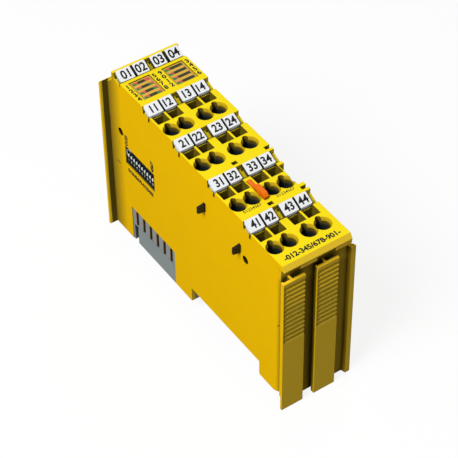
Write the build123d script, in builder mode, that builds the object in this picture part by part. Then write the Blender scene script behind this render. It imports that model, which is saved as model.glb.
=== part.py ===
from build123d import *
from math import atan2, degrees, sqrt
import os

os.makedirs("parts", exist_ok=True)

# Frame: X across the width, Y along the length (far end +Y), Z up from the floor. Millimetres.

# Overall size
halfWidth = 12.0
modulePitch = 12.0
farEnd = 50.0
nearEnd = -49.7
bodyBottom = 5.7
wall = 1.3

# Front face: five level treads stepping down from the far end, a tilted tag row at each step
treads = [70.3, 68.45, 66.6, 64.7, 62.6]
tagRows = [23.75, 7.35, -11.05, -29.45]
bankTop = 72.0
bankWall = 41.4
bankTagEdge = 40.3
tagReach = 3.95
channelDepth = 1.75
fasciaDrop = 1.6
fasciaEdge = 61.0

# Ends
endShelf = 61.8
shelfRoot = 68.5
plateTop = 55.5
plateThick = 1.0
plateWidth = 7.85
endWall = nearEnd + 2.6
legWall = 1.4
cornerRadius = 3.0
grooveDepth = 3.0
farRound = 43.4
farRoundEnd = farRound + cornerRadius
nearRound = nearEnd + 4.8
ribPitch = 1.85
ribCount = 13
ribDepth = 0.45
tongueReach = 2.6
tongueGap = 0.25

# Terminals
terminalPitch = 5.0
terminalX = [-9.25, -4.25, 2.75, 7.75]
slotWidth = 4.3
slotStart = 3.85
slotEnd = 8.0
entryOffset = 12.0
entryRim = 2.75
entryBore = 2.2
entryConeDepth = 1.1
testOffset = 9.6
testRadius = 0.95
chamberTop = 8.0
chamberFloor = 46.0
chamberEnd = 14.7

# Mounting channel across the bottom, for a 35 mm carrier
channelCentre = -18.3
channelWidth = 35.4
channelSeat = 11.5
clampLip = 1.0
flangeRoom = 1.15
footRound = 2.6

# Windows in the left flank
switchWindow = (27.4, 41.9, 16.8, 7.4)
contactWindowY = (8.7, 34.0)
contactWindowTop = 20.0
contactPitch = 4.0
contactFirst = 11.2
contactCount = 6

# Light windows
lightX = [-6.0, 6.0]
lightSize = (7.7, 9.4)
lightCentre = 30.55
lightRecess = 0.35
barPitch = 2.35

# Lever
leverX = -0.9
leverThick = 1.5
leverGap = 0.08
leverStart = -16.3
leverEnd = -25.7
leverTop = 66.5

# Switch
switchCount = 10
switchPitch = 1.55

# Contacts for power
powerY = [-9.4, -27.8]
powerDrop = 12.1
powerHeight = 3.2
powerTip = 2.4
powerThick = 0.8
forkX = halfWidth - 3.2
forkEnd = halfWidth - 1.0

# Boards
boardThick = 1.6
boardX = [-6.8, 5.2]
boardTop = 45.4
boardBottom = 13.4


def beside(value, width):
    return value - width / 2, value + width / 2


# Tags
tagThick = 1.0
pairX = [(-11.75, -6.7), (-6.3, -1.95), (0.25, 5.3), (5.7, 10.05)]
groupX = [(-11.25, -6.1), (-5.4, -0.9), (1.05, 5.65), (6.6, 11.45)]

def tagLine(row):
    """Top edge of a tag row: far point and near point in (y, z)."""
    if row == 0:
        return (bankTagEdge, bankTop + 0.3), (bankTagEdge - 3.75, treads[0] + 0.2)
    y = tagRows[row - 1]
    return (y - 0.1, treads[row - 1] + 0.2), (y - 3.85, treads[row] + 0.5)


# Side outline of the moulded body, walked from the far foot over the face to the near foot
faceLine = [(farEnd, 0), (farEnd, endShelf), (bankWall, shelfRoot), (bankWall, bankTop)]
for row in range(5):
    upper = bankTop if row == 0 else treads[row - 1]
    start = bankTagEdge + 0.1 if row == 0 else tagRows[row - 1]
    far, near = tagLine(row)
    faceLine.append((start, upper))
    faceLine.append((start, far[1] - channelDepth))
    faceLine.append((start - tagReach, near[1] - channelDepth))
    faceLine.append((start - tagReach, treads[row]))
faceLine.append((nearEnd + 0.8, treads[4]))
faceLine.append((nearEnd - 0.3, fasciaEdge))
faceLine.append((nearEnd - 0.3, fasciaEdge - 0.4))
faceLine.append((endWall, fasciaEdge - 0.4))
faceLine.append((endWall, 0))
faceLine.append((endWall + legWall, 0))
faceLine.append((endWall + legWall, bodyBottom))
faceLine.append((farRoundEnd, bodyBottom))
faceLine.append((farRoundEnd, 0))

with BuildPart() as housing:
    with BuildSketch(Plane.YZ.offset(-halfWidth)):
        with BuildLine():
            Polyline(*faceLine, close=True)
        make_face()
    extrude(amount=2 * halfWidth)

    # Groove of the far end: the flank rounds in, a fin stands past it
    with BuildSketch(Plane.XY):
        with BuildLine():
            grooveFloor = -halfWidth + grooveDepth
            Line((-halfWidth - 1, farRound), (-halfWidth, farRound))
            RadiusArc((-halfWidth, farRound), (grooveFloor, farRoundEnd), cornerRadius)
            Line((grooveFloor, farRoundEnd), (grooveFloor, farEnd - plateThick))
            Line((grooveFloor, farEnd - plateThick), (-halfWidth - 1, farEnd - plateThick))
            Line((-halfWidth - 1, farEnd - plateThick), (-halfWidth - 1, farRound))
        make_face()
    extrude(amount=shelfRoot + 5, mode=Mode.SUBTRACT)

    # Rounded near corner of the left flank, below the fascia
    with BuildSketch(Plane.XY):
        with BuildLine():
            Line((-halfWidth, nearRound), (-halfWidth - 1, nearRound))
            Line((-halfWidth - 1, nearRound), (-halfWidth - 1, nearEnd - 1))
            Line((-halfWidth - 1, nearEnd - 1), (grooveFloor, nearEnd - 1))
            Line((grooveFloor, nearEnd - 1), (grooveFloor, nearRound - cornerRadius))
            RadiusArc((grooveFloor, nearRound - cornerRadius), (-halfWidth, nearRound), cornerRadius)
        make_face()
    extrude(amount=fasciaEdge - 0.4, mode=Mode.SUBTRACT)

    # Ribbed plates of the near end, each on a web
    for k in range(2):
        left = -halfWidth + k * modulePitch
        with BuildSketch(Plane.XY):
            with Locations((left + plateWidth / 2, nearEnd + plateThick / 2)):
                Rectangle(plateWidth, plateThick)
            with Locations((left + 0.35, nearEnd + 0.7)):
                Rectangle(0.7, 1.4)
            with Locations((left + grooveDepth + 0.4, (nearEnd + endWall) / 2 + 0.1)):
                Rectangle(0.8, endWall - nearEnd + 0.2)
        extrude(amount=plateTop)
    ribTop = plateTop - 1.3
    teeth = [(nearEnd - 0.5, ribTop)]
    for n in range(ribCount):
        z = ribTop - ribPitch * n
        teeth.append((nearEnd, z))
        teeth.append((nearEnd + ribDepth, z - ribPitch + 0.3))
    teeth.append((nearEnd, ribTop - ribPitch * ribCount))
    teeth.append((nearEnd - 0.5, ribTop - ribPitch * ribCount))
    for k in range(2):
        with BuildSketch(Plane.YZ.offset(-halfWidth + k * modulePitch + 0.3)):
            with BuildLine():
                Polyline(*teeth, close=True)
            make_face()
        extrude(amount=plateWidth - 0.3, mode=Mode.SUBTRACT)

    # Tabs under the fascia
    for x in (-3.4, 9.0):
        with Locations((x, nearEnd + 0.35, fasciaEdge - 1.0)):
            Box(5.8, 1.2, 1.4)

    # Tongues of the right flank, each following the rounding of a neighbour's groove
    tip = halfWidth + tongueReach
    arcRadius = cornerRadius + tongueGap
    rootRise = sqrt(arcRadius**2 - cornerRadius**2)
    tipRise = sqrt(arcRadius**2 - (cornerRadius - tongueReach)**2)
    with BuildSketch(Plane.XY):
        with BuildLine():
            Polyline((halfWidth, nearRound - rootRise), (halfWidth - 1, nearRound - rootRise),
                     (halfWidth - 1, endWall), (halfWidth + 0.5, endWall),
                     (halfWidth + 0.95, nearEnd + 1.05), (tip, nearEnd + 1.05), (tip, nearRound - tipRise))
            RadiusArc((tip, nearRound - tipRise), (halfWidth, nearRound - rootRise), -arcRadius)
        make_face()
    extrude(amount=plateTop)
    with BuildSketch(Plane.XY):
        with BuildLine():
            Polyline((halfWidth, farRound + rootRise), (halfWidth - 1, farRound + rootRise),
                     (halfWidth - 1, farEnd - 1.15), (tip, farEnd - 1.15), (tip, farRound + tipRise))
            RadiusArc((tip, farRound + tipRise), (halfWidth, farRound + rootRise), arcRadius)
        make_face()
    extrude(amount=endShelf)

    # Snap notches in the channel floors at the ends of each tag pair, and a groove below the joint of a pair
    for row in range(5):
        start = bankTagEdge + 0.1 if row == 0 else tagRows[row - 1]
        far, near = tagLine(row)
        spans = groupX if row == 0 else pairX
        for first, second in ((spans[0], spans[1]), (spans[2], spans[3])):
            for x in (first[0] - 0.05, second[1] + 0.25):
                with Locations((x, start - 0.55, far[1] - channelDepth - 0.1),
                               (x, start - tagReach + 0.55, near[1] - channelDepth)):
                    Box(0.9, 0.8, 1.9, mode=Mode.SUBTRACT)
            jointZ = (far[1] + near[1]) / 2 - channelDepth - 0.2
            with Locations(((first[1] + second[0]) / 2, start - tagReach / 2, jointZ)):
                Box(second[0] - first[1], tagReach - 0.1, 2.6, mode=Mode.SUBTRACT)

    # Inner room: main cavity, open below, and the higher rooms under the light windows and bank
    roomX = 2 * (halfWidth - wall)
    roomNear = endWall + legWall
    with Locations((0, (roomNear + 44.6) / 2, chamberFloor / 2)):
        Box(roomX, 44.6 - roomNear, chamberFloor, mode=Mode.SUBTRACT)
    with Locations((0, 30.4, 57)):
        Box(roomX, 10.4, 22.6, mode=Mode.SUBTRACT)
    with Locations((0, 40.0, 55)):
        Box(roomX, 9.2, 20, mode=Mode.SUBTRACT)

    # Terminals: operating slot, conductor entry with its funnel, test slot, clamp chamber
    for row in range(4):
        y = tagRows[row]
        top = treads[row + 1]
        deep = top - chamberTop
        with Locations(*[(x, y - (slotStart + slotEnd) / 2, deep + 5) for x in terminalX]):
            Box(slotWidth, slotEnd - slotStart, 10.2, mode=Mode.SUBTRACT)
        chamberStart = slotStart + 0.65
        chamberY = y - (chamberStart + chamberEnd) / 2
        with Locations(*[(x, chamberY, (deep + chamberFloor) / 2) for x in terminalX]):
            Box(4.0, chamberEnd - chamberStart, deep - chamberFloor + 0.2, mode=Mode.SUBTRACT)
        with BuildSketch(Plane.XY.offset(deep - 0.1)):
            with Locations(*[(x, y - entryOffset) for x in terminalX]):
                Circle(entryBore)
            with Locations(*[(x, y - testOffset - 0.4) for x in terminalX]):
                SlotCenterToCenter(0.9, 2 * testRadius, rotation=90)
        extrude(amount=chamberTop + 1, mode=Mode.SUBTRACT)
        with Locations(*[(x, y - entryOffset, top - entryConeDepth / 2) for x in terminalX]):
            Cone(entryBore, entryRim, entryConeDepth, mode=Mode.SUBTRACT)

    # Light windows with a ledge for the insert
    with Locations(*[(x, lightCentre, treads[0]) for x in lightX]):
        Box(lightSize[0], lightSize[1], 2 * (lightRecess + 0.9), mode=Mode.SUBTRACT)
        Box(lightSize[0] - 1.0, lightSize[1] - 1.0, 6, mode=Mode.SUBTRACT)

    # Lever shaft, and the cut-back of the right flank in line with it
    leverMiddle = (leverStart + leverEnd) / 2
    with Locations((leverX, leverMiddle, 57)):
        Box(leverThick + 2 * leverGap, leverStart - leverEnd + 0.3, 24, mode=Mode.SUBTRACT)
    with Locations((halfWidth, leverMiddle, 60)):
        Box(3.8, leverStart - leverEnd + 0.3, 24, mode=Mode.SUBTRACT)

    # Power contacts: passage for the bar, slot and pocket on the right, inspection hole between the halves
    for k in range(2):
        top = treads[2 + k]
        z = top - powerDrop
        with Locations(((forkX + 1.1 - halfWidth - 0.5) / 2, powerY[k], z)):
            Box(forkX + 1.6 + halfWidth, powerThick + 0.2, powerHeight + 0.2, mode=Mode.SUBTRACT)
        with Locations((halfWidth, powerY[k], z + 9)):
            Box(4.4, 1.35, 21, mode=Mode.SUBTRACT)
        with Locations(((forkX + forkEnd + 0.2) / 2, powerY[k], z)):
            Box(forkEnd - forkX + 0.4, 3.0, 4.6, mode=Mode.SUBTRACT)
        with Locations((leverX - 0.2, powerY[k], top)):
            Box(1.8, 1.3, 8, mode=Mode.SUBTRACT)

    # Left flank: windows, pin holes, parting nicks
    with Locations((-halfWidth, switchWindow[0], switchWindow[1])):
        Box(3, switchWindow[2], switchWindow[3], mode=Mode.SUBTRACT)
    windowMiddle = sum(contactWindowY) / 2
    windowLength = contactWindowY[1] - contactWindowY[0]
    with Locations((-halfWidth, windowMiddle, contactWindowTop / 2), (halfWidth, windowMiddle, contactWindowTop / 2)):
        Box(3, windowLength, contactWindowTop, mode=Mode.SUBTRACT)
    with BuildSketch(Plane.YZ.offset(-halfWidth)):
        with Locations((37.9, 49.8), (-30.6, 49.9)):
            Circle(1.4)
    extrude(amount=8, mode=Mode.SUBTRACT)
    with Locations((-halfWidth, 40.3, 35.1), (-halfWidth, -47.4, 35.4)):
        Box(1.6, 1.9, 0.6, mode=Mode.SUBTRACT)

    # Mounting channel, with a rounded near foot
    channelNear, channelFar = beside(channelCentre, channelWidth)
    with BuildSketch(Plane.YZ.offset(-halfWidth - 4)):
        with BuildLine():
            Line((channelFar, -1), (channelFar, channelSeat))
            Line((channelFar, channelSeat), (channelNear, channelSeat))
            Line((channelNear, channelSeat), (channelNear, bodyBottom + 1.6))
            RadiusArc((channelNear, bodyBottom + 1.6), (channelNear - 1.6, bodyBottom), 1.6)
            Line((channelNear - 1.6, bodyBottom), (channelNear - 1.6, -1))
            Line((channelNear - 1.6, -1), (channelFar, -1))
        make_face()
    extrude(amount=2 * halfWidth + 8, mode=Mode.SUBTRACT)
    for side in (-1, 1):
        outer = side * halfWidth
        inner = outer - side * footRound
        with BuildSketch(Plane.XY):
            with BuildLine():
                Polyline((outer, channelNear - footRound), (outer + side, channelNear - footRound),
                         (outer + side, channelNear + 1), (inner, channelNear + 1), (inner, channelNear))
                RadiusArc((inner, channelNear), (outer, channelNear - footRound), side * footRound)
            make_face()
        extrude(amount=channelSeat, mode=Mode.SUBTRACT)
    with Locations((-halfWidth, endWall, 0)):
        Box(5.2, 3.5, 2 * bodyBottom, mode=Mode.SUBTRACT)
housing.part.label = "housing"
export_step(housing.part, "parts/housing.step")

# Foot frame: closes the bottom, carries the mounting channel, the fixed claws and the contact strip
frameX = halfWidth - wall - 0.1
frameNear = roomNear + 0.1
frameFar = 44.5
frameTop = channelSeat + 1.5
stripX = halfWidth - 0.2
stripTop = 19.9
stripBase = 12.7
slotLow = 13.5
slotHigh = 19.8
latchX = 8.0
latchLow = 7.0
latchHigh = 10.2
latchTravel = 1.6
latchGap = 0.1
pinY = -37.4
pinZ = 18.0
earThick = 1.05
earGap = 0.2
contactYs = [contactFirst + contactPitch * n for n in range(contactCount)]
earLow = leverX - leverThick / 2 - earGap - earThick
earHigh = leverX + leverThick / 2 + earGap + earThick

with BuildPart() as footFrame:
    with BuildSketch(Plane.YZ.offset(-frameX)):
        with BuildLine():
            Polyline((frameNear, bodyBottom), (frameNear, frameTop), (frameFar, frameTop), (frameFar, bodyBottom),
                     (channelFar, bodyBottom), (channelFar, channelSeat), (channelNear, channelSeat),
                     (channelNear, bodyBottom + 1.2), (channelNear - 1.2, bodyBottom), close=True)
        make_face()
    extrude(amount=2 * frameX)
    # Tray between the rims of the far half
    with Locations((0, (channelFar + frameFar) / 2, bodyBottom + 1.5 + 5)):
        Box(2 * frameX - 2.8, frameFar - channelFar - 3.2, 10, mode=Mode.SUBTRACT)
    # Fixed claws below the carrier's flange, with a lead-in
    with BuildSketch(Plane.YZ.offset(-9)):
        with BuildLine():
            hook = channelSeat - flangeRoom
            Polyline((channelFar + 0.5, hook), (channelFar - clampLip, hook), (channelFar - clampLip, hook - 1.4),
                     (channelFar, hook - 3), (channelFar + 0.5, hook - 3), close=True)
        make_face()
    extrude(amount=6)
    mirror(about=Plane.YZ)
    # Guide of the latch, and the slot its ears stand in
    with Locations((0, channelNear - 3.7, (latchLow + latchHigh) / 2)):
        Box(2 * (latchX + latchGap), 7.6, latchHigh - latchLow + 2 * latchGap, mode=Mode.SUBTRACT)
    with Locations(((earLow + earHigh) / 2, pinY - latchTravel / 2, frameTop)):
        Box(earHigh - earLow + 0.5, 2.4 + latchTravel + 0.5, 6, mode=Mode.SUBTRACT)
    # Contact strips in both flank windows: ribs at their ends, a proud ledge below, recessed at its far end
    ledgeX = stripX + 0.15
    ledgeTop = slotLow - 0.1
    ledgeNear = contactWindowY[0] + 0.1
    ledgeFar = contactWindowY[1] - 3.2
    for side in (-1, 1):
        face = stripX
        with Locations((side * (face + 10.2) / 2, windowMiddle, (stripBase + stripTop) / 2)):
            Box(face - 10.2, windowLength - 0.2, stripTop - stripBase)
        with Locations((side * (ledgeX + 9.2) / 2, (ledgeFar + ledgeNear) / 2, (bodyBottom + ledgeTop) / 2)):
            Box(ledgeX - 9.2, ledgeFar - ledgeNear, ledgeTop - bodyBottom)
        for y in (contactWindowY[0] + 0.5, contactWindowY[1] - 0.5):
            with Locations((side * (face + 10.2) / 2, y, (bodyBottom + stripTop) / 2)):
                Box(face - 10.2, 0.8, stripTop - bodyBottom)
    # Slots of the contact springs, and passages of the pad pins
    with Locations(*[(-stripX, y - 0.2, (slotLow + slotHigh) / 2) for y in contactYs]):
        Box(3.6, 1.3, slotHigh - slotLow, mode=Mode.SUBTRACT)
    with Locations(*[(stripX - 0.8, y, 17) for y in contactYs]):
        Box(3, 0.7, 0.7, mode=Mode.SUBTRACT)
footFrame.part.label = "foot_frame"
export_step(footFrame.part, "parts/foot_frame.step")

# Locking latch: flat slider with a bevelled claw, two ears and the cross pin
clawTip = channelNear + 1.3
with BuildPart() as latch:
    with BuildSketch(Plane.YZ.offset(-latchX)):
        with BuildLine():
            Polyline((channelNear - 5.2, latchLow), (channelNear - 5.2, latchHigh), (clawTip, latchHigh),
                     (clawTip, latchHigh - 1.2), (channelNear - 0.3, latchLow), close=True)
        make_face()
    extrude(amount=2 * latchX)
    with BuildSketch(Plane.XY.offset(latchLow)):
        with Locations((0, clawTip)):
            Rectangle(5.2, 3.2)
    extrude(amount=4, mode=Mode.SUBTRACT)
    with Locations((earLow + earThick / 2, pinY, (latchHigh + pinZ + 1.2) / 2),
                   (earHigh - earThick / 2, pinY, (latchHigh + pinZ + 1.2) / 2)):
        Box(earThick, 2.4, pinZ + 1.2 - latchHigh)
    with BuildSketch(Plane.YZ.offset(earLow)):
        with Locations((pinY, pinZ)):
            Circle(0.8)
    extrude(amount=earHigh - earLow)
latch.part.label = "locking_latch"
export_step(latch.part, "parts/locking_latch.step")

# Release lever: stepped handle on top, stem between the boards, arm with the slanted slot at the foot
leverTravel = 3.0
leverLeft = leverX - leverThick / 2
with BuildPart() as lever:
    with BuildSketch(Plane.YZ.offset(leverLeft)):
        with BuildLine():
            Polyline((leverStart, 47), (leverStart, leverTop - 1.6), (leverStart - 3.9, leverTop - 1.6),
                     (leverStart - 4.2, leverTop), (leverEnd + 0.9, leverTop), (leverEnd, leverTop - 0.9),
                     (leverEnd, 17.2), (pinY + 2.4, 17.2), (pinY + 2.4, 20.4), (pinY - 2.4, 20.4),
                     (pinY - 4, 17.5), (pinY - 4, 13.2), (leverEnd + 3.4, 13.2), (leverEnd + 3.4, 44), close=True)
        make_face()
    extrude(amount=leverThick)
    with BuildSketch(Plane.YZ.offset(leverLeft)):
        with Locations((pinY - latchTravel / 2, pinZ - leverTravel / 2)):
            slotRun = sqrt(latchTravel**2 + leverTravel**2)
            SlotCenterToCenter(slotRun, 1.7, rotation=degrees(atan2(leverTravel, latchTravel)))
    extrude(amount=leverThick, mode=Mode.SUBTRACT)
lever.part.label = "release_lever"
export_step(lever.part, "parts/release_lever.step")

# Contact springs in the left strip: upright leaves along one side of their slots, rooted on the main board
springRoot = boardX[0] - boardThick / 2
springNose = halfWidth + 0.05
for n, y in enumerate(contactYs):
    with BuildPart() as spring:
        with BuildSketch(Plane.XZ.offset(-y - 0.4)):
            with BuildLine():
                Polyline((springRoot, 15.4), (springRoot - 2.0, 15.4), (springRoot - 2.7, 13.8),
                         (-springNose + 0.2, 13.8), (-springNose, 14.1), (-springNose, 19.3),
                         (-springNose + 0.2, 19.6), (springRoot - 2.7, 19.6), (springRoot - 2.0, 18.4),
                         (springRoot, 18.4), close=True)
            make_face()
        extrude(amount=0.3)
    spring.part.label = f"data_contact_{n + 1}"
    export_step(spring.part, f"parts/data_contact_{n + 1}.step")

# Contact pads of the right strip, each with its pin to the output board
outputFace = boardX[1] + boardThick / 2
with BuildPart() as pads:
    with Locations(*[(stripX + 0.05, y, 16.7) for y in contactYs]):
        Box(0.1, 1.7, 5.2)
    with Locations(*[((outputFace + stripX) / 2, y, 17) for y in contactYs]):
        Box(stripX - outputFace, 0.6, 0.6)
pads.part.label = "data_pads"
export_step(pads.part, "parts/data_pads.step")

# Power bars: a tapered blade on the left, the bar across, a two-leaf fork on the right
for k in range(2):
    z = treads[2 + k] - powerDrop
    with BuildPart() as bar:
        with BuildSketch(Plane.XZ.offset(-powerY[k] - powerThick / 2)):
            with BuildLine():
                Polyline((-tip, z - powerTip / 2), (-tip, z + powerTip / 2), (-halfWidth - 0.1, z + powerHeight / 2),
                         (forkX + 0.3, z + powerHeight / 2), (forkX + 0.3, z - powerHeight / 2),
                         (-halfWidth - 0.1, z - powerHeight / 2), close=True)
            make_face()
        extrude(amount=powerThick)
        with BuildSketch(Plane.XY.offset(z - powerHeight / 2)):
            with BuildLine():
                y = powerY[k]
                Polyline((forkX + 0.15, y + 0.2), (forkX + 0.7, y + 1.05), (forkEnd, y + 0.55))
            trace(line_width=0.34)
            with BuildLine():
                Polyline((forkX + 0.15, y - 0.2), (forkX + 0.7, y - 1.05), (forkEnd, y - 0.55))
            trace(line_width=0.34)
        extrude(amount=powerHeight)
    bar.part.label = f"power_bar_{k + 1}"
    export_step(bar.part, f"parts/power_bar_{k + 1}.step")

# Circuit boards
boardNames = ["main_board", "output_board"]
for k in range(2):
    with BuildPart() as board:
        with Locations((boardX[k], -1, (boardTop + boardBottom) / 2)):
            Box(boardThick, 86, boardTop - boardBottom)
    board.part.label = boardNames[k]
    export_step(board.part, f"parts/{boardNames[k]}.step")
lightBoardZ = 57.0
with BuildPart() as lightBoard:
    with Locations((0, 30.4, lightBoardZ + boardThick / 2)):
        Box(2 * frameX, 10.2, boardThick)
lightBoard.part.label = "light_board"
export_step(lightBoard.part, "parts/light_board.step")

# Link pins from each upright board to the light board
with BuildPart() as links:
    for x in (boardX[0] + boardThick / 2 + 0.3, boardX[1] - boardThick / 2 - 0.3):
        with Locations(*[(x, 26.9 + 1.4 * n, (lightBoardZ + 42) / 2) for n in range(6)]):
            Box(0.6, 0.6, lightBoardZ - 42)
links.part.label = "link_pins"
export_step(links.part, "parts/link_pins.step")

# Components on the boards
controllerY = [-14.0, 6.0]
for k in range(2):
    with BuildPart() as chip:
        with Locations((boardX[0] + boardThick / 2 + 0.6, controllerY[k], 33)):
            Box(1.2, 10, 10)
    chip.part.label = f"controller_{k + 1}"
    export_step(chip.part, f"parts/controller_{k + 1}.step")
with BuildPart() as drivers:
    with Locations(*[(boardX[1] - boardThick / 2 - 1.1, -28 + 18 * n, 33) for n in range(4)]):
        Box(2.2, 6.6, 9)
drivers.part.label = "output_drivers"
export_step(drivers.part, "parts/output_drivers.step")

# Lights and their guides: a recessed window plate with a pipe over each light
barY = [lightCentre + barPitch * (1.5 - n) for n in range(4)]
sides = ["left", "right"]
plateZ = treads[0] - lightRecess
for k in range(2):
    spots = [(lightX[k] + shift, y) for shift in (-2.1, 2.1) for y in barY]
    with BuildPart() as lights:
        with Locations(*[(x, y, lightBoardZ + boardThick + 0.4) for x, y in spots]):
            Box(1.6, 0.8, 0.8)
    lights.part.label = f"lights_{sides[k]}"
    export_step(lights.part, f"parts/lights_{sides[k]}.step")
    with BuildPart() as guide:
        with Locations((lightX[k], lightCentre, plateZ - 0.45)):
            Box(lightSize[0] - 0.1, lightSize[1] - 0.1, 0.9)
        with Locations(*[(x, y, (plateZ - 0.45 + 59.7) / 2) for x, y in spots]):
            Box(2.2, 1.2, plateZ - 0.45 - 59.7)
    guide.part.label = f"light_guide_{sides[k]}"
    export_step(guide.part, f"parts/light_guide_{sides[k]}.step")

# Tags: slanted plates with a lug at each end, standing on the channel floor of their row
def tag(name, row, left, right):
    far, near = tagLine(row)
    with BuildPart() as plate:
        with BuildSketch(Plane.YZ.offset(left)):
            with BuildLine():
                Polyline(far, near, (near[0], near[1] - tagThick), (far[0], far[1] - tagThick), close=True)
            make_face()
        extrude(amount=right - left)
        chamfer(plate.edges().filter_by(Axis.Z), 0.2)
        drop = (far[1] - near[1]) / (far[0] - near[0])
        lugFar = far[0] - 1.05
        lugNear = near[0] + 1.05
        under = far[1] - channelDepth + 0.02
        for x in (left, right - 0.6):
            with BuildSketch(Plane.YZ.offset(x)):
                with BuildLine():
                    Polyline((lugFar, far[1] - tagThick - 1.05 * drop), (lugNear, near[1] - tagThick + 1.05 * drop),
                             (lugNear, under - drop * (far[0] - lugNear)), (lugFar, under - drop * (far[0] - lugFar)),
                             close=True)
                make_face()
            extrude(amount=0.6)
    plate.part.label = name
    export_step(plate.part, f"parts/{name}.step")

for n, span in enumerate(groupX):
    tag(f"group_tag_{n + 1}", 0, *span)
for row in range(4):
    for n, span in enumerate(pairX):
        tag(f"tag_{row + 1}_{n + 1}", row + 1, *span)

# Clamps, four per row: current bar, bent spring leaf below the entry, tail on the board face
clampWidth = 3.4
tailX = [middle + face * boardThick / 2 for middle in boardX for face in (-1, 1)]
for row in range(4):
    y = tagRows[row]
    high = treads[row + 1] - chamberTop - 0.5
    with BuildPart() as clamps:
        for n, x in enumerate(terminalX):
            with BuildSketch(Plane.YZ.offset(x - clampWidth / 2)):
                with BuildLine():
                    Polyline((y - 14.3, high), (y - 14.3, 48), (y - 6.2, 48), (y - 5.0, 49.4),
                             (y - 5.0, high - 1), (y - 5.9, high), (y - 9.2, high), (y - 13.2, 52.2))
                trace(line_width=0.45)
            extrude(amount=clampWidth)
            inward = 1 if n % 2 == 0 else -1
            with Locations((tailX[n] - inward * 0.9, y - 14.2, 45.9)):
                Box(1.8, 0.6, 4.4)
    clamps.part.label = f"clamps_row_{row + 1}"
    export_step(clamps.part, f"parts/clamps_row_{row + 1}.step")

# Slide switch: body on the main board, ten sliders in their slots
switchFace = -halfWidth + 0.3
switchBack = boardX[0] - boardThick / 2
switchFirst = switchWindow[0] + (switchCount - 1) / 2 * switchPitch
switchY = [switchFirst - switchPitch * n for n in range(switchCount)]
knobHeight = 0.85
slotMiddle = 42.77
slotHeight = 2.35
knobDepth = 0.9
knobProud = 0.05
with BuildPart() as switchBody:
    with Locations(((switchFace + switchBack) / 2, switchWindow[0], switchWindow[1])):
        Box(switchBack - switchFace, switchWindow[2] - 0.3, switchWindow[3] - 0.3)
    with Locations(*[(switchFace, y, slotMiddle) for y in switchY]):
        Box(2 * knobDepth, 0.9, slotHeight, mode=Mode.SUBTRACT)
switchBody.part.label = "switch_body"
export_step(switchBody.part, "parts/switch_body.step")
for n, y in enumerate(switchY):
    with BuildPart() as knob:
        with Locations((switchFace - knobProud + knobDepth / 2, y, slotMiddle - (slotHeight - knobHeight) / 2 + 0.05)):
            Box(knobDepth, 0.8, knobHeight)
    knob.part.label = f"switch_slider_{n + 1}"
    export_step(knob.part, f"parts/switch_slider_{n + 1}.step")
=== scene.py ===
import bpy
import math
import numpy as np
from mathutils import Matrix, Vector


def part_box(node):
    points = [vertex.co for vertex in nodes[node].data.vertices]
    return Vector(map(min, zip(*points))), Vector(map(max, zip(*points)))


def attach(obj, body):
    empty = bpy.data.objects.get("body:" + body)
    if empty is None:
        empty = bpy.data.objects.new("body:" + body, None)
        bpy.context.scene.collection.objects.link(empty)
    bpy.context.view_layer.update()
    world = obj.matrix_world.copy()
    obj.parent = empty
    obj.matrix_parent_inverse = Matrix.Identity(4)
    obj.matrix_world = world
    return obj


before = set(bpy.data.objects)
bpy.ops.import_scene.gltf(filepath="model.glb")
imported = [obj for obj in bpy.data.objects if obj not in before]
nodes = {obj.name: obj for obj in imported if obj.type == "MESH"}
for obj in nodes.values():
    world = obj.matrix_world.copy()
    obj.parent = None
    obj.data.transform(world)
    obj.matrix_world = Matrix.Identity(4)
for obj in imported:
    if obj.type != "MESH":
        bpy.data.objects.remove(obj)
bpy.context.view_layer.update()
mm = 0.001
print("frame loaded,", len(nodes), "nodes")

# Camera: angles in degrees, distance and target in metres
viewpoint = {"azimuth": -33.9, "elevation": 45.07, "roll": -0.79, "distance": 0.5629,
             "target": (-0.0004, -0.005, 0.035), "lens": 143.4, "sensor": 36}


def makeCamera(view):
    # back is the unit vector from the target to the camera; right is level, then both turn by the roll
    az, el, roll = (math.radians(view[angle]) for angle in ("azimuth", "elevation", "roll"))
    back = Vector((math.sin(az) * math.cos(el), -math.cos(az) * math.cos(el), math.sin(el)))
    right = Vector((math.cos(az), math.sin(az), 0))
    turned = math.cos(roll) * right + math.sin(roll) * back.cross(right)
    camera = bpy.data.objects.new("camera", bpy.data.cameras.new("camera"))
    camera.data.lens = view["lens"]
    camera.data.sensor_width = view["sensor"]
    camera.data.clip_start = 0.01
    camera.data.clip_end = 20
    pose = Matrix((turned, back.cross(turned), back)).transposed().to_4x4()
    pose.translation = Vector(view["target"]) + back * view["distance"]
    camera.matrix_world = pose
    bpy.context.scene.collection.objects.link(camera)
    bpy.context.scene.camera = camera


makeCamera(viewpoint)
bpy.context.scene.view_settings.view_transform = "Standard"

# Light: lamp powers in watts, places and sizes in metres; sky is the world's strength on the object.
# The floor glows a little for the camera alone, so that it is nearly white and still takes a soft shadow.
studio = {"sky": 0.15, "key": 14.6, "keyFrom": (-0.70, -0.19, 0.90), "keySize": 0.55,
          "fill": 3.0, "fillFrom": (0.95, 0.75, 0.45), "fillSize": 0.8, "aim": (0, 0, 0.03),
          "floorGlow": 0.87, "floorSeen": 0.12, "floorBounce": 0.14, "floorHalf": 3.0,
          "floorRough": 0.9, "floorShine": 0.1}


def makeLamp(name, power, place, size):
    lamp = bpy.data.objects.new(name, bpy.data.lights.new(name, "AREA"))
    lamp.data.energy = power
    lamp.data.shape = "DISK"
    lamp.data.size = size
    lamp.location = place
    lamp.rotation_mode = "QUATERNION"
    lamp.rotation_quaternion = (Vector(place) - Vector(studio["aim"])).to_track_quat("Z", "Y")
    bpy.context.scene.collection.objects.link(lamp)


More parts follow.
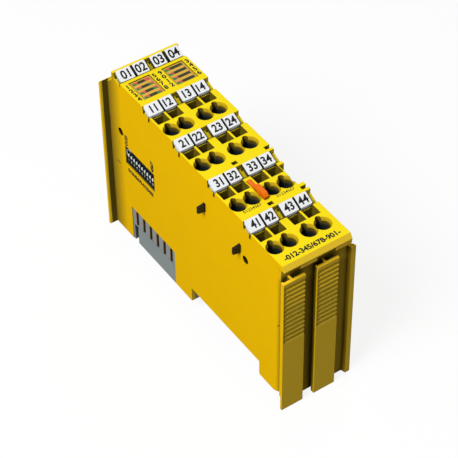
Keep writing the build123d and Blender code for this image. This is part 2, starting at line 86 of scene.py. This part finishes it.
def seenByCamera(tree):
    # 1 for a ray from the camera, a mirror or clear glass, 0 for light that falls on the object
    path = tree.nodes.new("ShaderNodeLightPath")
    straight = tree.nodes.new("ShaderNodeMath")
    straight.operation = "MAXIMUM"
    tree.links.new(path.outputs["Is Camera Ray"], straight.inputs[0])
    tree.links.new(path.outputs["Is Transmission Ray"], straight.inputs[1])
    return straight.outputs[0]


def makeWorld():
    world = bpy.data.worlds.new("studio")
    world.use_nodes = True
    bpy.context.scene.world = world
    tree = world.node_tree
    strength = tree.nodes.new("ShaderNodeMapRange")
    strength.inputs["To Min"].default_value = studio["sky"]
    tree.links.new(seenByCamera(tree), strength.inputs["Value"])
    tree.nodes["Background"].inputs["Color"].default_value = (1, 1, 1, 1)
    tree.links.new(strength.outputs["Result"], tree.nodes["Background"].inputs["Strength"])


def makeFloor():
    half = studio["floorHalf"]
    mesh = bpy.data.meshes.new("floor")
    corners = [(-half, -half, 0), (half, -half, 0), (half, half, 0), (-half, half, 0)]
    mesh.from_pydata(corners, [], [(0, 1, 2, 3)])
    floor = bpy.data.objects.new("floor", mesh)
    bpy.context.scene.collection.objects.link(floor)
    paper = bpy.data.materials.new("floorPaper")
    paper.use_nodes = True
    tree = paper.node_tree
    shader = tree.nodes["Principled BSDF"]
    seen = seenByCamera(tree)
    tone = tree.nodes.new("ShaderNodeMix")
    tone.data_type = "RGBA"
    tone.inputs["A"].default_value = (studio["floorBounce"],) * 3 + (1,)
    tone.inputs["B"].default_value = (studio["floorSeen"],) * 3 + (1,)
    tree.links.new(seen, tone.inputs["Factor"])
    tree.links.new(tone.outputs["Result"], shader.inputs["Base Color"])
    glow = tree.nodes.new("ShaderNodeMath")
    glow.operation = "MULTIPLY"
    glow.inputs[1].default_value = studio["floorGlow"]
    tree.links.new(seen, glow.inputs[0])
    tree.links.new(glow.outputs[0], shader.inputs["Emission Strength"])
    shader.inputs["Emission Color"].default_value = (1, 1, 1, 1)
    shader.inputs["Roughness"].default_value = studio["floorRough"]
    shader.inputs["Specular IOR Level"].default_value = studio["floorShine"]
    mesh.materials.append(paper)


makeLamp("key", studio["key"], studio["keyFrom"], studio["keySize"])
makeLamp("fill", studio["fill"], studio["fillFrom"], studio["fillSize"])
makeWorld()
makeFloor()
print("camera, lamps and floor made")

# Finishes: base colour, roughness, how much both vary, grain of the bump in 1/m and its depth in metres, the
# rounding that edges show in metres, how much paler they are (wear and a painted highlight), metal or not.
# What a finish doesn't say is as in usual, where hollows get painted shade: hollow is what is left of the
# colour at the bottom of a hollow, reach how far in metres a hollow is felt, alone whether only the piece's
# own walls make it, open the shares of open space that count as none and as all, touch the reach of a second
# painted shade beside any other piece, sunkTint what the colour gains before the painted shade darkens it,
# and shine the specular level.
usual = {"hollow": 0.3, "reach": 0.005, "alone": False, "open": (0.28, 0.92), "touch": 0,
         "sunkTint": (0, 0, 0), "shine": 0.3}
# The same for all: scale in 1/m and detail of the cloud, the factors between which it moves the roughness,
# the factor and the lift of a pale edge, how well the rounded normal agrees with the face's where wear and
# painted highlight start and are full, the shares of open space of the second painted shade, strength and
# detail of the grain
common = {"cloudScale": 140, "cloudDetail": 4, "roughSpan": (0.88, 1.12), "paleFactor": 1.25,
          "paleLift": 0.02, "wearAndHighlight": (0.995, 0.8), "touchOpen": (0.35, 0.85), "grainStrength": 0.35,
          "grainDetail": 2}
finishes = {
    "housingYellow": {"colour": (0.91, 0.53, 0.0), "rough": 0.55, "vary": 0.03, "grain": 2600,
                      "depth": 0.000012, "edge": 0.00012, "edgeLift": 0.3, "metal": 0, "hollow": 0.16,
                      "reach": 0.03, "alone": True, "open": (0.39, 0.95), "touch": 0.0013,
                      "sunkTint": (-0.04, 0.09, 0.05), "shine": 0.03},
    "footGrey": {"colour": (0.29, 0.33, 0.33), "rough": 0.5, "vary": 0.08, "grain": 2400,
                 "depth": 0.00002, "edge": 0.00018, "edgeLift": 1.0, "metal": 0,
                 "hollow": 0.06, "reach": 0.003},
    "leverOrange": {"colour": (0.88, 0.17, 0.003), "rough": 0.38, "vary": 0.06, "grain": 3000,
                    "depth": 0.00001, "edge": 0.00015, "edgeLift": 0.3, "metal": 0,
                    "hollow": 0.08, "reach": 0.004},
    "tagWhite": {"colour": (0.84, 0.86, 0.88), "rough": 0.35, "vary": 0.03, "grain": 3000,
                 "depth": 0.000006, "edge": 0.0001, "edgeLift": 0.05, "metal": 0,
                 "hollow": 0.03, "reach": 0.003, "open": (0.55, 0.95)},
    "springGold": {"colour": (0.86, 0.46, 0.14), "rough": 0.36, "vary": 0.12, "grain": 5000,
                   "depth": 0.000004, "edge": 0.00004, "edgeLift": 0.5, "metal": 0.7,
                   "hollow": 0.02, "reach": 0.003},
    # the power blades are plated metal; their near-black colour is painted shade and painted dark reflection
    "bladeMetal": {"colour": (0.035, 0.036, 0.034), "rough": 0.42, "vary": 0.2, "grain": 5000,
                   "depth": 0.000006, "edge": 0.00006, "edgeLift": 0.6, "metal": 0.6},
    "clampSteel": {"colour": (0.13, 0.15, 0.17), "rough": 0.34, "vary": 0.15, "grain": 6000,
                   "depth": 0.000005, "edge": 0.00006, "edgeLift": 0.2, "metal": 1},
    "boardGreen": {"colour": (0.02, 0.13, 0.06), "rough": 0.3, "vary": 0.15, "grain": 1800,
                   "depth": 0.000008, "edge": 0.00005, "edgeLift": 0.4, "metal": 0},
    "chipBlack": {"colour": (0.018, 0.018, 0.02), "rough": 0.55, "vary": 0.15, "grain": 5000,
                  "depth": 0.00001, "edge": 0.0001, "edgeLift": 0.5, "metal": 0},
    "switchBlack": {"colour": (0.008, 0.017, 0.017), "rough": 0.5, "vary": 0.12, "grain": 4000,
                    "depth": 0.000008, "edge": 0.0001, "edgeLift": 0.3, "metal": 0, "shine": 0.08},
    "sliderWhite": {"colour": (0.86, 0.86, 0.84), "rough": 0.35, "vary": 0.04, "grain": 5000,
                    "depth": 0.000004, "edge": 0.00008, "edgeLift": 0.1, "metal": 0, "reach": 0.001},
    "guideAmber": {"colour": (0.72, 0.43, 0.07), "rough": 0.22, "vary": 0.08, "grain": 1500,
                   "depth": 0.000006, "edge": 0.00008, "edgeLift": 0.3, "metal": 0, "reach": 0.0012},
    "lightResin": {"colour": (0.75, 0.75, 0.66), "rough": 0.2, "vary": 0.05, "grain": 3000,
                   "depth": 0.000004, "edge": 0.00005, "edgeLift": 0.2, "metal": 0},
    "barDark": {"colour": (0.045, 0.052, 0.022), "rough": 0.3, "vary": 0.2, "grain": 2500,
                "depth": 0.000006, "edge": 0.00004, "edgeLift": 0.3, "metal": 0},
    "barGreen": {"colour": (0.005, 0.24, 0.05), "rough": 0.25, "vary": 0.1, "grain": 2500,
                 "depth": 0.000006, "edge": 0.00004, "edgeLift": 0.2, "metal": 0},
    "barRed": {"colour": (0.70, 0.10, 0.09), "rough": 0.25, "vary": 0.1, "grain": 2500,
               "depth": 0.000006, "edge": 0.00004, "edgeLift": 0.2, "metal": 0},
    "lineBrown": {"colour": (0.30, 0.15, 0.02), "rough": 0.5, "vary": 0.15, "grain": 4000,
                  "depth": 0.000004, "edge": 0.00003, "edgeLift": 0.1, "metal": 0},
    "inkBlack": {"colour": (0.012, 0.012, 0.012), "rough": 0.55, "vary": 0.2, "grain": 6000,
                 "depth": 0.000003, "edge": 0.00002, "edgeLift": 0.1, "metal": 0},
    "inkWhite": {"colour": (0.7, 0.7, 0.68), "rough": 0.55, "vary": 0.1, "grain": 6000,
                 "depth": 0.000003, "edge": 0.00002, "edgeLift": 0.1, "metal": 0},
}


def mixColours(tree, factor, first, second):
    # first and second are either fixed colours or outputs of other nodes
    mix = tree.nodes.new("ShaderNodeMix")
    mix.data_type = "RGBA"
    tree.links.new(factor, mix.inputs["Factor"])
    for socket, value in (("A", first), ("B", second)):
        if isinstance(value, tuple):
            mix.inputs[socket].default_value = value + (1,)
        else:
            tree.links.new(value, mix.inputs[socket])
    return mix.outputs["Result"]


def spread(tree, value, low, high, toLow=0.0, toHigh=1.0):
    # a straight ramp from low..high to toLow..toHigh, held at its ends
    ramp = tree.nodes.new("ShaderNodeMapRange")
    ramp.inputs["From Min"].default_value = low
    ramp.inputs["From Max"].default_value = high
    ramp.inputs["To Min"].default_value = toLow
    ramp.inputs["To Max"].default_value = toHigh
    tree.links.new(value, ramp.inputs["Value"])
    return ramp.outputs["Result"]


def joinValues(tree, operation, first, second):
    join = tree.nodes.new("ShaderNodeMath")
    join.operation = operation
    tree.links.new(first, join.inputs[0])
    tree.links.new(second, join.inputs[1])
    return join.outputs[0]


def noise(tree, vector, scale, detail):
    cloud = tree.nodes.new("ShaderNodeTexNoise")
    cloud.inputs["Scale"].default_value = scale
    cloud.inputs["Detail"].default_value = detail
    tree.links.new(vector, cloud.inputs["Vector"])
    return cloud.outputs["Fac"]


def normalPart(tree, place, axis):
    # the share of the face's normal along one axis, -1 to 1
    parts = tree.nodes.new("ShaderNodeSeparateXYZ")
    tree.links.new(place.outputs["Normal"], parts.inputs[0])
    return parts.outputs[axis]


# Width in metres over which a shade at a fixed place fades at its border
fade = 0.0001


def within(tree, place, low, high, rise=(fade,) * 3, fall=(fade,) * 3):
    # 1 in a box of Object coordinates, 0 outside: per axis a ramp up from low and a ramp down that ends at
    # high. A corner at 1 or -1 metre leaves that side open.
    spot = tree.nodes.new("ShaderNodeSeparateXYZ")
    tree.links.new(place.outputs["Object"], spot.inputs[0])
    inside = None
    for axis, start, end, up, down in zip("XYZ", low, high, rise, fall):
        for ramp in (spread(tree, spot.outputs[axis], start, start + up),
                     spread(tree, spot.outputs[axis], end, end - down)):
            inside = joinValues(tree, "MULTIPLY", inside, ramp) if inside else ramp
    return inside


# Painted light on the housing: level faces are painted more lemon, as lit from above, and the ends more
# olive, as painted shade. Then boxes in metres with the colour there: the ribs, too shallow to count as
# hollows, with painted shade on their ledges, the level tops of the ribbed plates with painted light, and
# painted shade on the wall round the pin holes. Each range of faces says how far their normal points up, or
# along y, where the colour starts and is full.
housingShade = {"levelLitColour": (0.91, 0.715, 0.01), "levelFaces": (0.2, 0.95),
                "endShadeColour": (0.91, 0.6, 0.04), "endFaces": (-0.5, -0.9),
                "ribs": ((-1, -0.051, 0), (1, -0.0492, 0.0558)), "ledgeShadeColour": (0.47, 0.35, 0.03),
                "ledgeFaces": (0.1, 0.5), "topFaces": (0.8, 0.9),
                "tops": ((-1, -0.0505, 0.045), (1, -0.0465, 0.0605)), "topLitColour": (1.0, 0.62, 0.02),
                "pinWall": ((-0.01192, -0.044, 0.0478), (0, 0.0455, 0.052)),
                "pinShadeColour": (0.0273, 0.0159, 0.0)}


def paintFacingLight(tree, place, tone):
    # painted light: level faces more lemon, as lit from above, and faces towards -y more olive, as painted
    # shade
    levelFaces = spread(tree, normalPart(tree, place, "Z"), *housingShade["levelFaces"])
    tone = mixColours(tree, levelFaces, tone, housingShade["levelLitColour"])
    endFaces = spread(tree, normalPart(tree, place, "Y"), *housingShade["endFaces"])
    return mixColours(tree, endFaces, tone, housingShade["endShadeColour"])


# Painted shade on the left flank as it rounds into the groove of the far end: where in y that starts and is
# full, where the groove starts and ends, the x of the groove's floor and of the rim beyond it with its
# painted highlight, all in metres
farShade = {"start": 0.037, "full": 0.0452, "groove": 0.0465, "end": 0.049, "floor": -0.009, "rim": -0.0113,
            "leftFaces": (-0.3, -0.7), "colour": (0.1274, 0.0952, 0.01), "rimHighlightColour": (1.0, 0.72, 0.02)}


def shadeFarEnd(tree, place, final):
    # painted shade = ramp along y in the box of the groove and its edge, times the greater of two values: how
    # far the normal points to -x, and 1 in the groove
    far = farShade
    end = far["end"] + fade
    leftFaces = spread(tree, normalPart(tree, place, "X"), *far["leftFaces"])
    groove = within(tree, place, (far["rim"], far["groove"], -1), (1, 1, 1))
    ramp = within(tree, place, (-1, far["start"], -1), (far["floor"], end, 1),
                  (1, far["full"] - far["start"], 1))
    shade = joinValues(tree, "MULTIPLY", joinValues(tree, "MAXIMUM", leftFaces, groove), ramp)
    final = mixColours(tree, shade, final, far["colour"])
    # painted highlight on the rim of the fin beyond the groove
    rim = within(tree, place, (-1, far["groove"], -1), (far["rim"], end, 1))
    return mixColours(tree, rim, final, far["rimHighlightColour"])


# Painted shade inside the conductor entries, tinted blue-grey like the steel clamps below: y and height of
# each row, half the length of an entry, half the width of the front, how low the shade goes, the depths where
# it starts and is full, all in metres
entryShade = {"rows": ((0.01175, 0.06845), (-0.00465, 0.0666), (-0.02305, 0.0647), (-0.04145, 0.0626)),
              "half": 0.0034, "halfWidth": 0.0116, "bottom": 0.02, "start": 0.0012, "full": 0.003,
              "colour": (0.014, 0.019, 0.02)}


def shadeEntries(tree, place, final):
    deep = entryShade
    # painted shade inside each row of entries
    for y, height in deep["rows"]:
        low = (-deep["halfWidth"], y - deep["half"], deep["bottom"])
        high = (deep["halfWidth"], y + deep["half"], height - deep["start"])
        fall = (fade, fade, deep["full"] - deep["start"])
        final = mixColours(tree, within(tree, place, low, high, fall=fall), final, deep["colour"])
    return final


def shadeHousing(tree, place, wornAndHighlit, final):
    upwardPart = normalPart(tree, place, "Z")
    # painted shade on the upward ledges of the ribs, which are left without the painted hollow shade
    ledgeFaces = spread(tree, upwardPart, *housingShade["ledgeFaces"])
    shadedLedges = mixColours(tree, ledgeFaces, wornAndHighlit, housingShade["ledgeShadeColour"])
    final = mixColours(tree, within(tree, place, *housingShade["ribs"]), final, shadedLedges)
    # painted light on the level tops of the ribbed plates, which lie in shadow
    topFaces = spread(tree, upwardPart, *housingShade["topFaces"])
    tops = joinValues(tree, "MULTIPLY", topFaces, within(tree, place, *housingShade["tops"]))
    final = mixColours(tree, tops, final, housingShade["topLitColour"])
    final = shadeFarEnd(tree, place, final)
    # painted shade on the wall round the pin holes
    pinWall = within(tree, place, *housingShade["pinWall"])
    final = mixColours(tree, pinWall, final, housingShade["pinShadeColour"])
    return shadeEntries(tree, place, final)


# Painted shade in the joints between two tags, first of the rows and then of the group tags: x, half a width,
# y from and to
tagShade = {"joints": ((-0.0065, 0.0004, -0.05, 0.03), (0.0055, 0.0004, -0.05, 0.03),
                       (-0.00575, 0.0005, 0.03, 0.05), (0.0061, 0.0006, 0.03, 0.05)),
            "colour": (0.0252, 0.0258, 0.0264)}


def shadeTags(tree, place, wornAndHighlit, final):
    # painted shade in each joint between two tags
    for x, half, yFrom, yTo in tagShade["joints"]:
        joint = within(tree, place, (x - half, yFrom, 0), (x + half, yTo, 1))
        final = mixColours(tree, joint, final, tagShade["colour"])
    return final


def wearAndHighlightEdges(tree, finish, rounded, tone):
    # edges are paler, for wear and as a painted highlight: there the rounded normal leaves that of the face
    face = tree.nodes.new("ShaderNodeNewGeometry")
    agree = tree.nodes.new("ShaderNodeVectorMath")
    agree.operation = "DOT_PRODUCT"
    tree.links.new(rounded.outputs["Normal"], agree.inputs[0])
    tree.links.new(face.outputs["Normal"], agree.inputs[1])
    pale = tuple(min(1, c * common["paleFactor"] + common["paleLift"]) for c in finish["colour"])
    wearAndHighlight = spread(tree, agree.outputs["Value"], *common["wearAndHighlight"], 0, finish["edgeLift"])
    return mixColours(tree, wearAndHighlight, tone, pale)


def paintHollowShade(tree, finish, wornAndHighlit):
    # painted shade: the less open space within reach of a point, the less of its colour is left
    clear = tree.nodes.new("ShaderNodeAmbientOcclusion")
    clear.samples = 16
    clear.only_local = finish["alone"]
    clear.inputs["Distance"].default_value = finish["reach"]
    sunk = tuple((c + gain) * finish["hollow"] for c, gain in zip(finish["colour"], finish["sunkTint"]))
    final = mixColours(tree, spread(tree, clear.outputs["AO"], *finish["open"]), sunk, wornAndHighlit)
    # a second, shorter painted shade beside any other piece
    if finish["touch"]:
        near = tree.nodes.new("ShaderNodeAmbientOcclusion")
        near.samples = 8
        near.inputs["Distance"].default_value = finish["touch"]
        final = mixColours(tree, spread(tree, near.outputs["AO"], *common["touchOpen"]), sunk, final)
    return final


def addGrain(tree, finish, place, rounded, shader):
    # moulded or drawn grain on top of the rounded edges
    bump = tree.nodes.new("ShaderNodeBump")
    bump.inputs["Strength"].default_value = common["grainStrength"]
    bump.inputs["Distance"].default_value = finish["depth"]
    grain = noise(tree, place.outputs["Object"], finish["grain"], common["grainDetail"])
    tree.links.new(grain, bump.inputs["Height"])
    tree.links.new(rounded.outputs["Normal"], bump.inputs["Normal"])
    tree.links.new(bump.outputs["Normal"], shader.inputs["Normal"])


lightTints = {"housingYellow": paintFacingLight}
shades = {"housingYellow": shadeHousing, "tagWhite": shadeTags}


def makeFinish(name, values):
    finish = {**usual, **values}
    material = bpy.data.materials.new(name)
    material.use_nodes = True
    tree = material.node_tree
    shader = tree.nodes["Principled BSDF"]
    place = tree.nodes.new("ShaderNodeTexCoord")
    rounded = tree.nodes.new("ShaderNodeBevel")
    rounded.samples = 8
    rounded.inputs["Radius"].default_value = finish["edge"]
    # a slow cloud moves colour and roughness
    cloud = noise(tree, place.outputs["Object"], common["cloudScale"], common["cloudDetail"])
    darker = tuple(c * (1 - finish["vary"]) for c in finish["colour"])
    lighter = tuple(min(1, c * (1 + finish["vary"])) for c in finish["colour"])
    tone = mixColours(tree, cloud, darker, lighter)
    if name in lightTints:
        tone = lightTints[name](tree, place, tone)
    wornAndHighlit = wearAndHighlightEdges(tree, finish, rounded, tone)
    final = paintHollowShade(tree, finish, wornAndHighlit)
    if name in shades:
        final = shades[name](tree, place, wornAndHighlit, final)
    tree.links.new(final, shader.inputs["Base Color"])
    smoother, rougher = (finish["rough"] * factor for factor in common["roughSpan"])
    roughness = spread(tree, cloud, 0, 1, smoother, rougher)
    tree.links.new(roughness, shader.inputs["Roughness"])
    addGrain(tree, finish, place, rounded, shader)
    shader.inputs["Metallic"].default_value = finish["metal"]
    shader.inputs["Specular IOR Level"].default_value = finish["shine"]
    return material


paint = {name: makeFinish(name, values) for name, values in finishes.items()}

# The nodes that wear each finish, by how their names start
wearing = {
    "housingYellow": ("housing",),
    "footGrey": ("foot_frame", "locking_latch"),
    "leverOrange": ("release_lever",),
    "tagWhite": ("group_tag", "tag_"),
    "springGold": ("data_contact", "data_pads", "link_pins"),
    "bladeMetal": ("power_bar",),
    "clampSteel": ("clamps_row",),
    "boardGreen": ("main_board", "output_board", "light_board"),
    "chipBlack": ("controller", "output_drivers"),
    "lightResin": ("lights_",),
    "guideAmber": ("light_guide",),
    "switchBlack": ("switch_body",),
    "sliderWhite": ("switch_slider",),
}
for name, node in nodes.items():
    kind = next(kind for kind, starts in wearing.items() if name.startswith(starts))
    for materialSlot in node.material_slots:
        materialSlot.material = paint[kind]
print("finishes made,", len(paint))


def addPiece(name, verts, faces, kinds, faceKinds=None):
    # verts in metres in the frame; faceKinds gives each face the index of its finish
    mesh = bpy.data.meshes.new(name)
    mesh.from_pydata(verts.tolist(), [], np.asarray(faces).tolist())
    for kind in kinds:
        mesh.materials.append(paint[kind])
    if faceKinds is not None:
        mesh.polygons.foreach_set("material_index", np.asarray(faceKinds, dtype=np.int32))
    mesh.update()
    piece = bpy.data.objects.new(name, mesh)
    bpy.context.scene.collection.objects.link(piece)
    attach(piece, "module")


# How tall a figure is as a share of the font's size, half the thickness of the print in mm, the points that
# each curve of a figure has
letters = {"share": 0.73, "thickness": 0.004, "points": 4}


def wordsMesh(words, height, bold, narrow):
    # a text as a mesh of triangles, centred on its own box and narrowed by a factor
    curve = bpy.data.curves.new("words", "FONT")
    curve.body = words
    curve.size = height / letters["share"]
    curve.offset = bold
    curve.extrude = letters["thickness"] * mm
    curve.resolution_u = letters["points"]
    holder = bpy.data.objects.new("words", curve)
    bpy.context.scene.collection.objects.link(holder)
    bpy.context.view_layer.update()
    mesh = bpy.data.meshes.new_from_object(holder.evaluated_get(bpy.context.evaluated_depsgraph_get()))
    verts = np.empty(len(mesh.vertices) * 3)
    mesh.vertices.foreach_get("co", verts)
    verts = verts.reshape(-1, 3)
    mesh.calc_loop_triangles()
    faces = np.empty(len(mesh.loop_triangles) * 3, dtype=np.int32)
    mesh.loop_triangles.foreach_get("vertices", faces)
    verts[:, :2] -= (verts[:, :2].max(0) + verts[:, :2].min(0)) / 2
    verts[:, 0] *= narrow
    bpy.data.objects.remove(holder)
    bpy.data.curves.remove(curve)
    bpy.data.meshes.remove(mesh)
    return verts, faces.reshape(-1, 3)


def printWords(name, entries, kind):
    # every entry: words, figure height, boldness, narrowing, middle point, line direction, upward direction
    allVerts, allFaces, count = [], [], 0
    for words, height, bold, narrow, middle, along, upward in entries:
        verts, faces = wordsMesh(words, height * mm, bold * mm, narrow)
        along = np.array(along, float) / np.linalg.norm(along)
        upward = np.array(upward, float) / np.linalg.norm(upward)
        axes = np.stack([along, upward, np.cross(along, upward)])
        allVerts.append(np.array(middle) + verts @ axes)
        allFaces.append(faces + count)
        count += len(verts)
    addPiece(name, np.concatenate(allVerts), np.concatenate(allFaces), [kind])


# Numbers on the tags: drop of each row's tag from its far to its near edge, figure heights, all in mm
tagPrint = {"drops": (1.8, 1.55, 1.55, 1.6, 1.8), "groupHeight": 3.0, "rowHeight": 2.7, "bold": 0.10,
            "narrow": 0.9, "lift": 0.012}


def tagEntry(node, row, words, height):
    # the top of a tag runs straight from its far top edge down to its near edge, by the row's drop
    low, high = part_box(node)
    drop = tagPrint["drops"][row] * mm
    upward = np.array((0, high[1] - low[1], drop))
    outward = np.cross((1, 0, 0), upward / np.linalg.norm(upward))
    middle = np.array(((low[0] + high[0]) / 2, (low[1] + high[1]) / 2, high[2] - drop / 2))
    middle += outward * tagPrint["lift"] * mm
    return words, height, tagPrint["bold"], tagPrint["narrow"], middle, (1, 0, 0), upward


entries = [tagEntry(f"group_tag_{n}", 0, f"0{n}", tagPrint["groupHeight"]) for n in range(1, 5)]
for row in range(1, 5):
    entries += [tagEntry(f"tag_{row}_{n}", row, f"{row}{n}", tagPrint["rowHeight"]) for n in range(1, 5)]
printWords("tag_numbers", entries, "inkBlack")

# Figures on the level faces: the columns beside the windows, the line at the near edge and the small lines
# below the entries of the third row. Places, heights of the faces and the lift of the print off them in mm.
faceLift = 0.008
legend = {"z": 70.3, "rows": (33.9, 31.7, 29.4, 27.2), "columns": (-10.8, -1.15, 1.0, 10.9), "height": 1.8,
          "bold": 0.09, "narrow": 1.0}
nearLine = {"words": "-012-345/678-901-", "x": 0, "y": -46.75, "z": 62.6, "height": 1.9, "bold": 0.1,
            "narrow": 1.0}
smallLine = {"words": "01234567", "xs": (-6.6, 5.2), "y": -26.5, "z": 64.7, "height": 1.15, "bold": 0.01,
             "narrow": 1.0}
# Directions of a line and of its figures' tops: lying on a level face, along the left flank, up the flank
lying = ((1, 0, 0), (0, 1, 0))
across = ((0, -1, 0), (0, 0, 1))
climbing = ((0, 0, 1), (0, 1, 0))


def printEntry(style, words, place, directions):
    # an entry for printWords in the style of one of the dictionaries, at a place in mm
    return (words, style["height"], style["bold"], style["narrow"], np.array(place) * mm, *directions)


entries = []
for column, x in enumerate(legend["columns"]):
    for n, y in enumerate(legend["rows"]):
        figure = str((len(legend["rows"]) * column + n + 1) % 10)
        entries.append(printEntry(legend, figure, (x, y, legend["z"] + faceLift), lying))
place = (nearLine["x"], nearLine["y"], nearLine["z"] + faceLift)
entries.append(printEntry(nearLine, nearLine["words"], place, lying))
for x in smallLine["xs"]:
    place = (x, smallLine["y"], smallLine["z"] + faceLift)
    entries.append(printEntry(smallLine, smallLine["words"], place, lying))

# Figures on the left flank: a line below the switch, and an upright word over both its ends, in mm
flankX = -12.0 - faceLift
flankLine = {"words": "012345678-0123456", "y": 27.3, "z": 36.0, "height": 1.4, "bold": 0.13, "narrow": 0.92}
flankUprights = {"words": ("0123", "4567"), "ys": (34.9, 20.0), "z": 48.2, "height": 1.5, "bold": 0.13,
                 "narrow": 1.0}
entries.append(printEntry(flankLine, flankLine["words"], (flankX, flankLine["y"], flankLine["z"]), across))
for words, y in zip(flankUprights["words"], flankUprights["ys"]):
    entries.append(printEntry(flankUprights, words, (flankX, y, flankUprights["z"]), climbing))
printWords("housing_print", entries, "inkBlack")

# White marks on the switch: a figure below each slider, ON above, a stroke at the far end, in mm
switchFigures = {"count": 10, "first": 34.375, "pitch": 1.55, "z": 40.3, "height": 1.05, "bold": 0.03,
                 "narrow": 0.9}
switchWord = {"words": "ON", "y": 33.6, "z": 44.75, "height": 0.85, "bold": 0.03, "narrow": 1.0}
switchStroke = {"words": "I", "y": 35.3, "z": 43.0, "height": 2.4, "bold": 0.03, "narrow": 1.0}
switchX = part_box("switch_body")[0][0] / mm - faceLift
entries = []
for n in range(switchFigures["count"]):
    place = (switchX, switchFigures["first"] - switchFigures["pitch"] * n, switchFigures["z"])
    entries.append(printEntry(switchFigures, str((n + 1) % 10), place, across))
for mark in (switchWord, switchStroke):
    entries.append(printEntry(mark, mark["words"], (switchX, mark["y"], mark["z"]), across))
printWords("switch_print", entries, "inkWhite")
print("numbers printed")

# Light bars in the two windows: rows, height and crown of a bar, the length of its coloured ends, in mm.
# The left window's bars have both ends coloured, the right window's only the left one. The first bar of the
# left window has its right end all red.
bars = {"ys": (34.07, 31.72, 29.37, 27.02), "height": 1.2, "z": 69.97, "crown": 0.06, "end": 1.8,
        "spans": {"left": (-8.95, -2.75), "right": (2.85, 9.05)}, "bothEnds": {"left": True, "right": False},
        "grid": (124, 24)}


def barSurface(x0, x1, y, bothEnds, allRed):
    # a low cushion over u, v in -1..1: z = base + crown (1 - u^8)(1 - v^2). In a coloured end, t runs 0..1
    # from left to right and s from near to far: green where s < 1 - t, else red. The finishes are numbered 0
    # dark, 1 green, 2 red.
    nu, nv = bars["grid"]
    u, v = np.meshgrid(np.linspace(-1, 1, nu + 1), np.linspace(-1, 1, nv + 1), indexing="ij")
    x = (x0 + x1) / 2 + (x1 - x0) / 2 * u
    z = bars["z"] + bars["crown"] * (1 - u**8) * (1 - v**2)
    verts = np.stack([x, y + bars["height"] / 2 * v, z], axis=-1).reshape(-1, 3) * mm
    i, j = np.meshgrid(np.arange(nu), np.arange(nv), indexing="ij")
    corner = i * (nv + 1) + j
    faces = np.stack([corner, corner + nv + 1, corner + nv + 2, corner + 1], axis=-1).reshape(-1, 4)
    xMiddle = x0 + (i + 0.5) / nu * (x1 - x0)
    s = (j + 0.5) / nv
    leftT = (xMiddle - x0) / bars["end"]
    rightT = 1 - (x1 - xMiddle) / bars["end"]
    kinds = np.where(leftT < 1, np.where(s < 1 - leftT, 1, 2), 0)
    if bothEnds:
        kinds = np.where(rightT > 0, np.where((s < 1 - rightT) & (not allRed), 1, 2), kinds)
    return verts, faces, kinds.reshape(-1)


for side, (x0, x1) in bars["spans"].items():
    both = bars["bothEnds"][side]
    made = [barSurface(x0, x1, y, both, both and n == 0) for n, y in enumerate(bars["ys"])]
    starts = np.cumsum([0] + [len(verts) for verts, _, _ in made[:-1]])
    verts = np.concatenate([verts for verts, _, _ in made])
    faces = np.concatenate([faces + start for (_, faces, _), start in zip(made, starts)])
    kinds = np.concatenate([kinds for _, _, kinds in made])
    addPiece(f"light_bars_{side}", verts, faces, ["barDark", "barGreen", "barRed"], kinds)

# A thin printed line round each window, inside the edge of its insert, in mm
frameLine = {"inset": 0.55, "width": 0.13, "lift": 0.012}


def lineSurface(node):
    # the band between two rectangles, the outer one inset from the node's box, the inner one a line's width
    # smaller on each side
    low, high = (np.array(corner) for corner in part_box(node))
    signs = np.array([(-1, -1), (1, -1), (1, 1), (-1, 1)])
    middle, half = (low[:2] + high[:2]) / 2, (high[:2] - low[:2]) / 2
    outer = middle + signs * (half - frameLine["inset"] * mm)
    inner = middle + signs * (half - (frameLine["inset"] + frameLine["width"]) * mm)
    top = np.full((8, 1), high[2] + frameLine["lift"] * mm)
    faces = [(n, (n + 1) % 4, (n + 1) % 4 + 4, n + 4) for n in range(4)]
    return np.hstack([np.concatenate([outer, inner]), top]), faces


for side in ("left", "right"):
    verts, faces = lineSurface(f"light_guide_{side}")
    addPiece(f"window_line_{side}", verts, faces, ["lineBrown"])
print("light bars laid")
